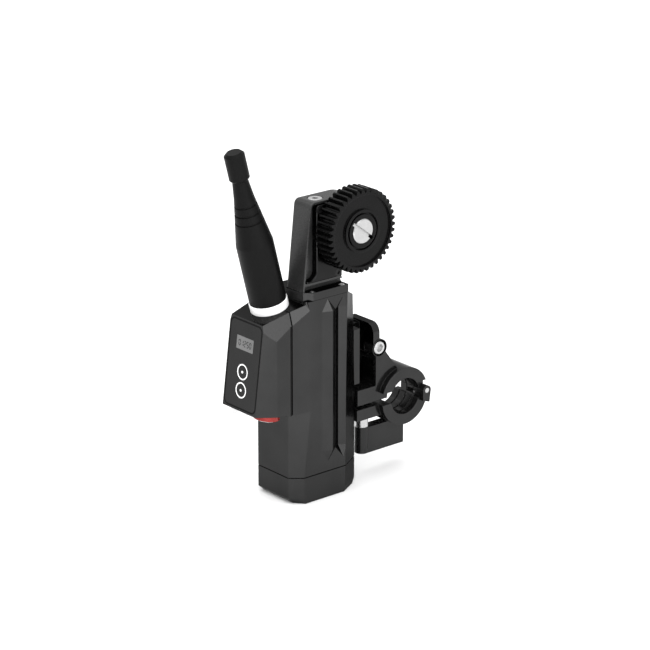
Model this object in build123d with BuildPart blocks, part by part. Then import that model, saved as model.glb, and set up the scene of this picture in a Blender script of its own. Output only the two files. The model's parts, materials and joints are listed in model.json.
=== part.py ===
"""A camera lens motor with a radio module, a gear arm and a hinged rod clamp, in millimetres."""

from build123d import *
import os
from math import cos, pi, radians, sin, sqrt, tan

os.makedirs("parts", exist_ok=True)

# Driving dimensions
# The origin is the centre of the rod clamp's bore: +X from motor to rod, Y along the rod, +Z up.
rod_dia = 15.0
body_left, body_right = -60.1, -25.05
body_half = 13.3
body_bottom, body_top = -30.85, 52.15
split_z = -19.95
gear_teeth, gear_module = 40, 0.8
gear_x, gear_z = -32.6, 78.65
pivot_x, pivot_z = -11.46, 22.44

# Clearances that all pieces share
running = 0.05
seat = 0.02
free_gap = 0.3
overrun = 1.0


# Planes that sub-parts are placed by
def facing(y):
    """The plane across the Y axis at a depth y: its normal points to the near side."""
    return Plane.XZ.offset(-y)


def across(x):
    """The plane across the X axis at x: its normal points to +X."""
    return Plane.YZ.offset(x)


def level(z):
    return Plane.XY.offset(z)


def keep(name, built):
    """Label a finished piece and write it out."""
    built.part.label = name
    export_step(built.part, f"parts/{name}.step")


def eight_sided(left, left_half, corner_left, half, corner_right, right, right_half):
    """Corner points of a body outline that is the same on its near and far side."""
    near = [(left, -left_half), (corner_left, -half), (corner_right, -half), (right, -right_half)]
    return near + [(x, -y) for x, y in reversed(near)]


# Motor housing: an eight sided tube with a closed head
left_in, right_in, right_in_high, module_in, side_wall = 3.9, 5.3, 6.7, 0.9, 3.4
left_half, right_half, right_half_high = body_half - left_in, body_half - right_in, body_half - right_in_high
module_half, cavity_half = body_half - module_in, body_half - side_wall
corner_left_low, corner_left_high = -55.25, -51.94
corner_right, corner_right_high = -34.2, -33.3
step_z = 7.35
wall = 1.8
seal_gap = 0.2
head_chamfer_x, head_chamfer_z = -32.5, 47.95

# The radio module's slanted top carries on over the housing's left shoulder
roof_x, roof_z = -61.44, 48.85
lean = radians(14.5)
roof_slope = tan(lean)
shoulder_x = -53.44
antenna_plane = Plane(origin=(roof_x, 0, roof_z), x_dir=(cos(lean), 0, sin(lean)),
                      z_dir=(-sin(lean), 0, cos(lean)))
socket_r, socket_depth = 2.5, 4.0


def roof(x):
    return roof_z + roof_slope * (x - roof_x)


# Long bevel between the side faces and the roof, which runs out in a point under the foot plate
bevel_back = {"x": body_left, "half": module_half, "low": 44.05, "in": 1.6}
bevel_end = {"x": shoulder_x, "half": body_half, "low": 47.3, "in": 0.2}
bevel_tip_x, bevel_tip_z = -52.16, 48.58

# Accessory rails on both broad faces: a pointed ridge beside a pointed channel
ridge_x = (-46.24, -41.94, -39.44)
ridge_rise = 1.5
channel_x = (-39.44, -36.44, -33.54)
channel_depth = 1.8
rail_high, rail_low = 46.65, -11.0
rail_tip_high, rail_tip_low = 51.55, -15.9
ridge_tip_x, channel_tip_x = -43.29, -35.24

# Screws that hold the end cap, from below
cap_screw_in_left, cap_screw_in_right = 5.2, 4.35
cap_screw_side_left, cap_screw_side_right = 5.7, 6.9
cap_screw_spots = [(x, side * (body_half - inset)) for side in (-1, 1)
                   for x, inset in ((body_left + cap_screw_in_left, cap_screw_side_left),
                                    (body_right - cap_screw_in_right, cap_screw_side_right))]
cap_screw_r, cap_head_r, cap_head_h = 1.0, 1.9, 1.6
boss_r = 2.6
cap_screw_reach = 9.0

# Screws of the arm's foot plate and of the clamp's console, which both reach into the housing
plate_screw_spots = [(-49.74, -11.9), (-35.14, -11.9), (-49.74, -1.6), (-35.14, -1.6)]
plate_screw_r, plate_head_r, plate_head_h, plate_screw_reach = 0.7, 1.15, 0.7, 2.2
console_screw_spots = [(-4.6, 13.0), (-4.6, 21.5), (-4.6, 30.0)]
console_screw_r, console_head_r, console_head_h, console_screw_reach = 1.0, 2.0, 1.2, 1.5

# The spur gear train that climbs from the head into the arm
train_module = 0.5
train_near, train_far = -6.3, -3.3
train_bay_near, train_bay_far = -6.8, -2.9
wheel_teeth, idler_teeth, pinion_teeth = 36, 18, 12
idler_lean = radians(235)
wheel_to_idler = (wheel_teeth + idler_teeth) * train_module / 2
idler_to_idler = idler_teeth * train_module
idler_to_pinion = (idler_teeth + pinion_teeth) * train_module / 2
train_x = gear_x + wheel_to_idler * cos(idler_lean)
idler_1_z = gear_z + wheel_to_idler * sin(idler_lean)
idler_2_z = idler_1_z - idler_to_idler
idler_3_z = idler_2_z - idler_to_idler
pinion_z = idler_3_z - idler_to_pinion
bay_half = 5.4
axle_r = 1.0

# The right angle gearbox in the head, on top of the motor's room
gearbox_drop, gearbox_rise, angle_in = 6.1, 4.5, 1.6
cavity_top, angle_top = pinion_z - gearbox_drop, pinion_z + gearbox_rise
angle_half_x, angle_far = 6.1, cavity_half - angle_in

with BuildPart() as motor_housing:
    with BuildSketch(level(split_z + seal_gap)):
        Polygon(*eight_sided(body_left, left_half, corner_left_low, body_half, corner_right, body_right,
                             right_half), align=None)
    with BuildSketch(level(step_z)):
        Polygon(*eight_sided(body_left, left_half, corner_left_high, body_half, corner_right, body_right,
                             right_half), align=None)
    loft(ruled=True)
    with BuildSketch(level(step_z)):
        Polygon(*eight_sided(body_left, module_half, corner_left_high, body_half, corner_right, body_right,
                             right_half), align=None)
    with BuildSketch(level(body_top)):
        Polygon(*eight_sided(body_left, module_half, corner_left_high, body_half, corner_right_high,
                             body_right, right_half_high), align=None)
    loft(ruled=True)
    # The slanted shoulder and the chamfer over the clamp side
    with BuildSketch(facing(body_half + overrun)):
        Polygon((body_left - overrun, roof(body_left - overrun)), (shoulder_x, roof(shoulder_x)),
                (shoulder_x, body_top + overrun), (body_left - overrun, body_top + overrun), align=None)
        Polygon((head_chamfer_x, body_top), (body_right, head_chamfer_z),
                (body_right + overrun, body_top + overrun), (head_chamfer_x, body_top + overrun), align=None)
    extrude(amount=2 * (body_half + overrun), mode=Mode.SUBTRACT)
    # The long bevels
    for side in (-1, 1):
        bevel_faces = []
        for place in (bevel_back, bevel_end):
            with BuildSketch(across(place["x"]), mode=Mode.PRIVATE) as bevel_section:
                Polygon((side * place["half"], place["low"]),
                        (side * (module_half - place["in"]), roof(place["x"])),
                        (side * (module_half - place["in"]), body_top + overrun),
                        (side * (body_half + overrun), body_top + overrun),
                        (side * (body_half + overrun), place["low"]), align=None)
            bevel_faces.append(bevel_section.sketch.face())
        loft(sections=[*bevel_faces, Vertex(bevel_tip_x, side * body_half, bevel_tip_z)], ruled=True,
             mode=Mode.SUBTRACT)
    # The rails: first the ridge, then the channel
    for side in (-1, 1):
        for xs, depth, tip_x, how in ((ridge_x, ridge_rise, ridge_tip_x, Mode.ADD),
                                      (channel_x, -channel_depth, channel_tip_x, Mode.SUBTRACT)):
            foot = body_half if how == Mode.ADD else body_half + seat
            rail_faces = []
            for z in (rail_low, rail_high):
                with BuildSketch(level(z), mode=Mode.PRIVATE) as rail_section:
                    Polygon((xs[0], side * foot), (xs[1], side * (body_half + depth)),
                            (xs[2], side * foot), align=None)
                rail_faces.append(rail_section.sketch.face())
            loft(sections=[Vertex(tip_x, side * foot, rail_tip_low), rail_faces[0], rail_faces[1],
                           Vertex(tip_x, side * foot, rail_tip_high)], ruled=True, mode=how)
    # The motor's room, with bosses for the end cap's screws
    with BuildSketch(level(split_z - overrun)):
        Polygon(*eight_sided(body_left + wall, left_half - wall, corner_left_low + wall, cavity_half,
                             corner_right - wall, body_right - wall, right_half - wall), align=None)
    extrude(amount=cavity_top - split_z + overrun, mode=Mode.SUBTRACT)
    with BuildSketch(level(split_z + seal_gap)):
        with Locations(*cap_screw_spots):
            Circle(boss_r)
    extrude(amount=cap_screw_reach + overrun)
    with BuildSketch(level(split_z)):
        with Locations(*cap_screw_spots):
            Circle(cap_screw_r + seat)
    extrude(amount=cap_screw_reach, mode=Mode.SUBTRACT)
    # The gear train's bay, and the pocket of the right angle gearbox
    with BuildSketch(facing(train_bay_far)):
        with Locations((train_x, cavity_top)):
            Rectangle(2 * bay_half, body_top - cavity_top + overrun, align=(Align.CENTER, Align.MIN))
    extrude(amount=train_bay_far - train_bay_near, mode=Mode.SUBTRACT)
    with BuildSketch(facing(angle_far)):
        with Locations((train_x, cavity_top)):
            Rectangle(2 * angle_half_x, angle_top - cavity_top, align=(Align.CENTER, Align.MIN))
    extrude(amount=angle_far - train_bay_far, mode=Mode.SUBTRACT)
    # Holes of the foot plate's and the console's screws
    with BuildSketch(level(body_top)):
        with Locations(*plate_screw_spots):
            Circle(plate_screw_r + seat)
    extrude(amount=-plate_screw_reach, mode=Mode.SUBTRACT)
    with BuildSketch(across(body_right)):
        with Locations(*console_screw_spots):
            Circle(console_screw_r + seat)
    extrude(amount=-console_screw_reach, mode=Mode.SUBTRACT)
    # Seats of the lowest idler's axle
    with BuildSketch(facing(train_bay_far + wall)):
        with Locations((train_x, idler_3_z)):
            Circle(axle_r + seat)
    extrude(amount=train_bay_far - train_bay_near + 2 * wall, mode=Mode.SUBTRACT)
    # The antenna socket stands over the joint between the module and the housing
    with BuildSketch(antenna_plane):
        Circle(socket_r + seat)
    extrude(amount=-socket_depth, mode=Mode.SUBTRACT)
keep("motor_housing", motor_housing)

# End cap: a shallow tub that draws in towards the bottom
cap_left, cap_corner_left, cap_corner_right, cap_right = -57.84, -54.6, -34.78, -27.05
cap_right_in, cap_bevel = 4.24, 2.05
cap_right_half = body_half - cap_right_in
cap_floor = 2.0

with BuildPart() as end_cap:
    with BuildSketch(level(body_bottom)):
        Polygon(*eight_sided(cap_left, left_half, cap_corner_left, body_half, cap_corner_right, cap_right,
                             cap_right_half), align=None)
    with BuildSketch(level(body_bottom + cap_bevel)) as cap_section:
        Polygon(*eight_sided(body_left, left_half, corner_left_low, body_half, corner_right, body_right,
                             right_half), align=None)
    loft(ruled=True)
    extrude(cap_section.sketch, amount=split_z - seal_gap - body_bottom - cap_bevel)
    with BuildSketch(level(body_bottom + cap_floor)):
        Polygon(*eight_sided(cap_left + wall, left_half - wall, cap_corner_left + wall, cavity_half,
                             corner_right - wall, body_right - wall, right_half - wall), align=None)
    extrude(amount=split_z - body_bottom, mode=Mode.SUBTRACT)
    with BuildSketch(level(body_bottom)):
        with Locations(*cap_screw_spots):
            Circle(boss_r)
    extrude(amount=split_z - seal_gap - body_bottom)
    with BuildSketch(level(body_bottom - overrun)):
        with Locations(*cap_screw_spots):
            Circle(cap_screw_r + seat)
    extrude(amount=split_z - body_bottom + 2 * overrun, mode=Mode.SUBTRACT)
    with BuildSketch(level(body_bottom)):
        with Locations(*cap_screw_spots):
            Circle(cap_head_r + seat)
    extrude(amount=cap_head_h, mode=Mode.SUBTRACT)
keep("end_cap", end_cap)

# Seal in the parting line, a little inside the walls so that it shows as a dark line
seal_inset = 0.35
with BuildPart() as cap_seal:
    with BuildSketch(level(split_z - seal_gap)):
        Polygon(*eight_sided(body_left + seal_inset, left_half - seal_inset, corner_left_low + seal_inset,
                             body_half - seal_inset, corner_right - seal_inset, body_right - seal_inset,
                             right_half - seal_inset), align=None)
        Polygon(*eight_sided(body_left + wall, left_half - wall, corner_left_low + wall, cavity_half,
                             corner_right - wall, body_right - wall, right_half - wall), align=None,
                mode=Mode.SUBTRACT)
        with Locations(*cap_screw_spots):
            Circle(boss_r, mode=Mode.SUBTRACT)
    extrude(amount=2 * seal_gap)
keep("cap_seal", cap_seal)

with BuildPart() as cap_screws:
    with BuildSketch(level(body_bottom + free_gap)):
        with Locations(*cap_screw_spots):
            Circle(cap_head_r)
    extrude(amount=cap_head_h - free_gap)
    with BuildSketch(level(body_bottom + cap_head_h)):
        with Locations(*cap_screw_spots):
            Circle(cap_screw_r)
    extrude(amount=split_z + cap_screw_reach - free_gap - body_bottom - cap_head_h)
    with BuildSketch(level(body_bottom)):
        with Locations(*cap_screw_spots):
            RegularPolygon(cap_screw_r, 6)
    extrude(amount=cap_head_h / 2, mode=Mode.SUBTRACT)
keep("cap_screws", cap_screws)

# Electric motor: can, rotor, planetary gearbox and right angle gearbox, one above the other
can_gap, can_wall = 0.2, 0.8
can_r = cavity_half - can_gap
can_bottom, can_top = -16.0, 20.0
rotor_r, rotor_shaft_r = 8.0, 1.5
rotor_bottom, rotor_top = -13.0, 15.0
shaft_bottom, shaft_top = -19.0, 23.0
bearing_t = 2.0

with BuildPart() as motor_can:
    with Locations((train_x, 0, can_bottom)):
        Cylinder(can_r, can_top - can_bottom, align=(Align.CENTER, Align.CENTER, Align.MIN))
    with Locations((train_x, 0, can_bottom + bearing_t)):
        Cylinder(can_r - can_wall, can_top - can_bottom - 2 * bearing_t,
                 align=(Align.CENTER, Align.CENTER, Align.MIN), mode=Mode.SUBTRACT)
    with Locations((train_x, 0, can_bottom)):
        Cylinder(rotor_shaft_r + running, can_top - can_bottom,
                 align=(Align.CENTER, Align.CENTER, Align.MIN), mode=Mode.SUBTRACT)
keep("motor_can", motor_can)

with BuildPart() as motor_rotor:
    with Locations((train_x, 0, rotor_bottom)):
        Cylinder(rotor_r, rotor_top - rotor_bottom, align=(Align.CENTER, Align.CENTER, Align.MIN))
    with Locations((train_x, 0, shaft_bottom)):
        Cylinder(rotor_shaft_r, shaft_top - shaft_bottom, align=(Align.CENTER, Align.CENTER, Align.MIN))
keep("motor_rotor", motor_rotor)

with BuildPart() as planetary_gearbox:
    with Locations((train_x, 0, can_top)):
        Cylinder(can_r, cavity_top - can_top, align=(Align.CENTER, Align.CENTER, Align.MIN))
    with Locations((train_x, 0, can_top)):
        Cylinder(rotor_shaft_r + running, shaft_top - can_top + free_gap,
                 align=(Align.CENTER, Align.CENTER, Align.MIN), mode=Mode.SUBTRACT)
keep("planetary_gearbox", planetary_gearbox)

pinion_shaft_r, pinion_shaft_far = 1.5, 2.0
with BuildPart() as angle_gearbox:
    with BuildSketch(facing(angle_far)):
        with Locations((train_x, cavity_top)):
            Rectangle(2 * angle_half_x, angle_top - cavity_top, align=(Align.CENTER, Align.MIN))
    extrude(amount=angle_far - train_bay_far)
    with BuildSketch(facing(pinion_shaft_far + free_gap)):
        with Locations((train_x, pinion_z)):
            Circle(pinion_shaft_r + running)
    extrude(amount=pinion_shaft_far + free_gap - train_bay_far, mode=Mode.SUBTRACT)
keep("angle_gearbox", angle_gearbox)

# Encoder board under the motor and control board on the module side
board_t = 1.2
encoder_z = can_bottom - board_t
with BuildPart() as encoder_board:
    with BuildSketch(level(encoder_z)):
        with Locations((train_x, 0)):
            Circle(can_r)
            Circle(rotor_shaft_r + free_gap, mode=Mode.SUBTRACT)
    extrude(amount=board_t)
keep("encoder_board", encoder_board)

chip_t, chip_w, chip_pitch, chip_count = 1.0, 5.0, 11.0, 4
control_x = body_left + wall
control_half = left_half - wall - free_gap
control_low, control_high = split_z + cap_screw_reach + 2 * overrun, cavity_top - overrun
with BuildPart() as control_board:
    with BuildSketch(across(control_x)):
        with Locations((0, (control_low + control_high) / 2)):
            Rectangle(2 * control_half, control_high - control_low)
    extrude(amount=board_t)
    with BuildSketch(across(control_x + board_t)):
        with Locations((0, (control_low + control_high) / 2)):
            with GridLocations(chip_w, chip_pitch, 1, chip_count):
                Rectangle(chip_w, chip_w)
    extrude(amount=chip_t)
keep("control_board", control_board)

# Foot plate of the gear arm, with its screws
plate_left, plate_right = shoulder_x, -32.84
plate_near, plate_far = -13.25, -0.3
plate_cut_x, plate_cut_y = -50.4, -10.7
plate_top = 55.4

with BuildPart() as foot_plate:
    with BuildSketch(level(body_top)):
        Polygon((plate_left, plate_cut_y), (plate_cut_x, plate_near), (plate_right, plate_near),
                (plate_right, plate_far), (plate_left, plate_far), align=None)
        with Locations((train_x, (train_bay_near + train_bay_far) / 2)):
            Rectangle(2 * bay_half, train_bay_far - train_bay_near, mode=Mode.SUBTRACT)
        with Locations(*plate_screw_spots):
            Circle(plate_screw_r + seat, mode=Mode.SUBTRACT)
    extrude(amount=plate_top - body_top)
    with BuildSketch(level(plate_top - plate_head_h)):
        with Locations(*plate_screw_spots):
            Circle(plate_head_r + seat)
    extrude(amount=plate_head_h, mode=Mode.SUBTRACT)
keep("foot_plate", foot_plate)

# Gear arm: a thin walled arm that leans a little and ends in a round head
arm_near, arm_far = -10.75, -1.1
arm_left_low, arm_left_high = plate_left, -49.69
arm_head_r = 11.8
arm_top = gear_z + arm_head_r
waist_x, flare_z = -34.34, 58.5
arm_corner_r = 2.3
rim = 0.9
cover_seat_y = -9.0
gap_top = 57.45
arm_back = -2.6
wheel_room_r = 10.0
cover_left, cover_right = -47.44, -34.64
cover_low = 58.85
cover_head_r = 10.6
cover_front = -11.75
cover_corner_r = 1.4
flare_r, flare_edge = 3.6, 0.9
flare_top = cover_low + flare_edge + flare_r
arm_slope = (arm_left_high - arm_left_low) / (arm_top - plate_top)
cover_foot_left = arm_left_low + arm_slope * (cover_low - plate_top) + rim
groove_right = cover_right + seat
cover_screw_in, cover_screw_rise = 2.0, 1.7
cover_spots = [(cover_right - cover_screw_in, cover_low + cover_screw_rise),
               (cover_left + cover_screw_rise, gear_z + cover_head_r - cover_screw_in)]
cover_screw_r, cover_head_screw_r, cover_head_h = 0.8, 1.6, 0.9
cover_screw_tip = -7.0
pad_size = 3.4
front_bearing_r, shoulder_r = 6.5, 4.5
rear_bearing_r, output_r = 4.8, 3.0
rear_pocket = -1.6
top_screw_x, top_screw_y = -43.44, -5.9
top_head_r, top_head_h, top_screw_r = 3.0, 1.6, 1.25
top_screw_reach = 5.5


def head_low(x, r):
    """Height at which a circle around the gear axis is met from below at x."""
    return gear_z - sqrt(r ** 2 - (x - gear_x) ** 2)


with BuildPart() as gear_arm:
    with BuildSketch(facing(arm_far)) as arm_side:
        with BuildLine():
            Polyline((gear_x, arm_top), (arm_left_high, arm_top), (arm_left_low, plate_top),
                     (plate_right, plate_top), (waist_x, flare_z), (waist_x, head_low(waist_x, arm_head_r)))
            ThreePointArc((waist_x, head_low(waist_x, arm_head_r)), (gear_x + arm_head_r, gear_z),
                          (gear_x, arm_top))
        make_face()
        fillet(arm_side.vertices().group_by(Axis.Y)[-1].sort_by(Axis.X)[0], radius=arm_corner_r)
    extrude(amount=arm_far - arm_near)
    # Groove around the cover, inside the arm's thin rim
    with BuildSketch(facing(cover_seat_y)):
        with BuildLine():
            Polyline((gear_x, arm_top - rim), (arm_left_high + rim, arm_top - rim),
                     (cover_foot_left, cover_low - seat), (groove_right, cover_low - seat),
                     (groove_right, head_low(groove_right, arm_head_r - rim)))
            ThreePointArc((groove_right, head_low(groove_right, arm_head_r - rim)),
                          (gear_x + arm_head_r - rim, gear_z), (gear_x, arm_top - rim))
        make_face()
    extrude(amount=cover_seat_y - arm_near, mode=Mode.SUBTRACT)
    # The dark gap above the foot plate
    with BuildSketch(facing(cover_seat_y)):
        with Locations((plate_right + overrun, plate_top)):
            Rectangle(plate_right - plate_left - rim + overrun, gap_top - plate_top,
                      align=(Align.MAX, Align.MIN))
    extrude(amount=cover_seat_y - arm_near, mode=Mode.SUBTRACT)
    # Room of the gears
    with BuildSketch(facing(arm_back)):
        with Locations((gear_x, gear_z)):
            Circle(wheel_room_r)
        with Locations((train_x, plate_top)):
            Rectangle(2 * bay_half, idler_1_z + bay_half - plate_top, align=(Align.CENTER, Align.MIN))
    extrude(amount=arm_back - train_bay_near, mode=Mode.SUBTRACT)
    with BuildSketch(facing(train_bay_near)):
        with Locations((gear_x, gear_z)):
            Circle(wheel_room_r)
        with Locations((train_x, cover_low + pad_size)):
            Rectangle(2 * bay_half, idler_1_z + bay_half - cover_low - pad_size,
                      align=(Align.CENTER, Align.MIN))
    extrude(amount=train_bay_near - cover_seat_y, mode=Mode.SUBTRACT)
    # Seats of the axles, the rear bearing and the screws
    with BuildSketch(facing(arm_back + overrun)):
        with Locations((train_x, idler_1_z), (train_x, idler_2_z)):
            Circle(axle_r + seat)
    extrude(amount=overrun, mode=Mode.SUBTRACT)
    with BuildSketch(facing(train_bay_near)):
        with Locations((train_x, idler_2_z)):
            Circle(axle_r + seat)
    extrude(amount=wall, mode=Mode.SUBTRACT)
    with BuildSketch(facing(rear_pocket)):
        with Locations((gear_x, gear_z)):
            Circle(rear_bearing_r + seat)
    extrude(amount=rear_pocket - arm_back + overrun, mode=Mode.SUBTRACT)
    with BuildSketch(facing(cover_screw_tip)):
        with Locations(*cover_spots):
            Circle(cover_screw_r + seat)
    extrude(amount=cover_screw_tip - cover_seat_y, mode=Mode.SUBTRACT)
    with BuildSketch(level(arm_top - top_screw_reach)):
        with Locations((top_screw_x, top_screw_y)):
            Circle(top_screw_r + seat)
    extrude(amount=top_screw_reach, mode=Mode.SUBTRACT)
    with BuildSketch(level(arm_top - top_head_h)):
        with Locations((top_screw_x, top_screw_y)):
            Circle(top_head_r + seat)
    extrude(amount=top_head_h, mode=Mode.SUBTRACT)
keep("gear_arm", gear_arm)

# Arm cover with its raised edge, and its screws
with BuildPart() as arm_cover:
    with BuildSketch(facing(cover_seat_y)) as cover_side:
        with BuildLine():
            Polyline((gear_x, gear_z + cover_head_r), (cover_left, gear_z + cover_head_r), (cover_left, flare_top))
            RadiusArc((cover_left, flare_top), (cover_left - flare_r, flare_top - flare_r), flare_r)
            Polyline((cover_left - flare_r, flare_top - flare_r),
                     (cover_foot_left + arm_slope * flare_edge + seat, flare_top - flare_r),
                     (cover_foot_left + seat, cover_low), (cover_right, cover_low),
                     (cover_right, head_low(cover_right, cover_head_r)))
            ThreePointArc((cover_right, head_low(cover_right, cover_head_r)),
                          (gear_x + cover_head_r, gear_z), (gear_x, gear_z + cover_head_r))
        make_face()
        fillet(cover_side.vertices().group_by(Axis.Y)[-1].sort_by(Axis.X)[0], radius=cover_corner_r)
    extrude(amount=cover_seat_y - cover_front)
    chamfer(arm_cover.faces().sort_by(Axis.Y)[0].edges(), length=free_gap)
    with BuildSketch(facing(cover_seat_y)):
        with Locations((gear_x, gear_z)):
            Circle(front_bearing_r + seat)
        with Locations(*cover_spots):
            Circle(cover_screw_r + seat)
    extrude(amount=cover_seat_y - cover_front, mode=Mode.SUBTRACT)
    with BuildSketch(facing(cover_front + cover_head_h)):
        with Locations(*cover_spots):
            Circle(cover_head_screw_r + seat)
    extrude(amount=cover_head_h, mode=Mode.SUBTRACT)
keep("arm_cover", arm_cover)

with BuildPart() as cover_screws:
    with BuildSketch(facing(cover_front + cover_head_h)):
        with Locations(*cover_spots):
            Circle(cover_head_screw_r)
    extrude(amount=cover_head_h)
    with BuildSketch(facing(cover_screw_tip - free_gap)):
        with Locations(*cover_spots):
            Circle(cover_screw_r)
    extrude(amount=cover_screw_tip - free_gap - cover_front - cover_head_h)
    with BuildSketch(facing(cover_front + cover_head_h / 2)):
        with Locations(*cover_spots):
            RegularPolygon(cover_screw_r, 6)
    extrude(amount=cover_head_h, mode=Mode.SUBTRACT)
keep("cover_screws", cover_screws)

# Countersunk socket screw in the top of the arm
with BuildPart() as top_screw:
    with BuildSketch(level(arm_top - top_head_h)):
        with Locations((top_screw_x, top_screw_y)):
            Circle(top_head_r)
    extrude(amount=top_head_h - seat)
    chamfer(top_screw.faces().sort_by(Axis.Z)[-1].edges(), length=free_gap)
    with BuildSketch(level(arm_top - top_screw_reach + free_gap)):
        with Locations((top_screw_x, top_screw_y)):
            Circle(top_screw_r)
    extrude(amount=top_screw_reach - top_head_h - free_gap)
    with BuildSketch(level(arm_top - top_head_h / 2)):
        with Locations((top_screw_x, top_screw_y)):
            RegularPolygon(top_screw_r, 6)
    extrude(amount=top_head_h, mode=Mode.SUBTRACT)
keep("top_screw", top_screw)

with BuildPart() as plate_screws:
    with BuildSketch(level(plate_top - plate_head_h)):
        with Locations(*plate_screw_spots):
            Circle(plate_head_r)
    extrude(amount=plate_head_h - seat)
    with BuildSketch(level(body_top - plate_screw_reach + seat)):
        with Locations(*plate_screw_spots):
            Circle(plate_screw_r)
    extrude(amount=plate_top - plate_head_h - body_top + plate_screw_reach - seat)
    with BuildSketch(level(plate_top - plate_head_h / 2)):
        with Locations(*plate_screw_spots):
            RegularPolygon(plate_screw_r, 6)
    extrude(amount=plate_head_h, mode=Mode.SUBTRACT)
keep("plate_screws", plate_screws)


# Spur gears: straight flanked teeth, with play so that the train runs free
flank_angle = radians(20)
addendum_share, dedendum_share = 0.95, 1.2


def tooth_points(teeth, module, play, phase):
    """Closed outline of a spur gear. The phase turns it by that share of a tooth pitch."""
    pitch_r = teeth * module / 2
    points = []
    for tooth in range(teeth):
        middle = 2 * pi * (tooth + phase) / teeth
        for side in (-1, 1):
            radii = [pitch_r - dedendum_share * module, pitch_r + addendum_share * module]
            for r in radii if side < 0 else reversed(radii):
                half = (pi * module / 2 - play) / 2 - (r - pitch_r) * tan(flank_angle)
                angle = middle + side * half / r
                points.append((r * cos(angle), r * sin(angle)))
    return points


def meshed_phase(driver_phase, driver_teeth, teeth, line_angle):
    """Phase that puts a gap opposite the driver's tooth. The line runs from the driver's axis."""
    driver_turns = line_angle * driver_teeth / (2 * pi) - driver_phase
    return ((line_angle + pi) * teeth / (2 * pi)) + driver_turns - 1 / 2


train_play = 0.16
wheel_phase = 0
idler_1_phase = meshed_phase(wheel_phase, wheel_teeth, idler_teeth, idler_lean)
idler_2_phase = meshed_phase(idler_1_phase, idler_teeth, idler_teeth, -pi / 2)
idler_3_phase = meshed_phase(idler_2_phase, idler_teeth, idler_teeth, -pi / 2)
pinion_phase = meshed_phase(idler_3_phase, idler_teeth, pinion_teeth, -pi / 2)

for number, z, phase in ((1, idler_1_z, idler_1_phase), (2, idler_2_z, idler_2_phase),
                         (3, idler_3_z, idler_3_phase)):
    with BuildPart() as idler_gear:
        with BuildSketch(facing(train_far)):
            with Locations((train_x, z)):
                Polygon(*tooth_points(idler_teeth, train_module, train_play, phase), align=None)
                Circle(axle_r + running, mode=Mode.SUBTRACT)
        extrude(amount=train_far - train_near)
    keep(f"idler_gear_{number}", idler_gear)

    # The arm's axles are held in its back, the lowest one on both sides of the bay
    near_end = train_bay_near - wall + free_gap if number > 1 else train_bay_near
    far_end = arm_back + overrun if number < 3 else train_bay_far + wall
    with BuildPart() as idler_axle:
        with BuildSketch(facing(far_end)):
            with Locations((train_x, z)):
                Circle(axle_r)
        extrude(amount=far_end - near_end)
    keep(f"idler_axle_{number}", idler_axle)

with BuildPart() as pinion:
    with BuildSketch(facing(train_far)):
        with Locations((train_x, pinion_z)):
            Polygon(*tooth_points(pinion_teeth, train_module, train_play, pinion_phase), align=None)
    extrude(amount=train_far - train_near)
    with BuildSketch(facing(pinion_shaft_far)):
        with Locations((train_x, pinion_z)):
            Circle(pinion_shaft_r)
    extrude(amount=pinion_shaft_far - train_near)
keep("pinion", pinion)

# Output shaft with its two bearings and the wheel that the train drives
gear_back, gear_front = -12.6, -21.5
shaft_front = -19.5
bearing_back = -9.6
with BuildPart() as output_wheel:
    with BuildSketch(facing(train_far)):
        with Locations((gear_x, gear_z)):
            Polygon(*tooth_points(wheel_teeth, train_module, train_play, wheel_phase), align=None)
            Circle(output_r + seat, mode=Mode.SUBTRACT)
    extrude(amount=train_far - train_near)
keep("output_wheel", output_wheel)

gear_screw_r = 2.0
with BuildPart() as output_shaft:
    with BuildSketch(facing(rear_pocket)):
        with Locations((gear_x, gear_z)):
            Circle(output_r)
    extrude(amount=rear_pocket - shaft_front)
    with BuildSketch(facing(train_near)):
        with Locations((gear_x, gear_z)):
            Circle(shoulder_r)
    extrude(amount=train_near - gear_back)
    with BuildSketch(facing(gear_back)):
        with Locations((gear_x, gear_z)):
            Circle(gear_screw_r + seat)
    extrude(amount=gear_back - shaft_front, mode=Mode.SUBTRACT)
keep("output_shaft", output_shaft)

with BuildPart() as front_bearing:
    with BuildSketch(facing(bearing_back)):
        with Locations((gear_x, gear_z)):
            Circle(front_bearing_r)
            Circle(shoulder_r + running, mode=Mode.SUBTRACT)
    extrude(amount=bearing_back - cover_front)
keep("front_bearing", front_bearing)

with BuildPart() as rear_bearing:
    with BuildSketch(facing(rear_pocket)):
        with Locations((gear_x, gear_z)):
            Circle(rear_bearing_r)
            Circle(output_r + running, mode=Mode.SUBTRACT)
    extrude(amount=rear_pocket - train_far - free_gap)
keep("rear_bearing", rear_bearing)

# Drive gear: forty bevelled teeth round a dished web, held by a large slotted screw
drive_play = 0.1
tip_bevel = 0.5
web_outer_r, web_inner_r, web_depth = 14.2, 8.6, 0.9
hub_groove_outer_r, hub_groove_inner_r, hub_groove_depth = 7.5, 6.7, 1.2
screw_head_r, screw_head_h, screw_proud = 4.9, 1.7, 0.3
slot_w, slot_depth, slot_turn = 1.3, 1.5, -38
key_w, key_r = 1.3, 6.1
drive_tip_r = gear_module * (gear_teeth / 2 + addendum_share)

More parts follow.
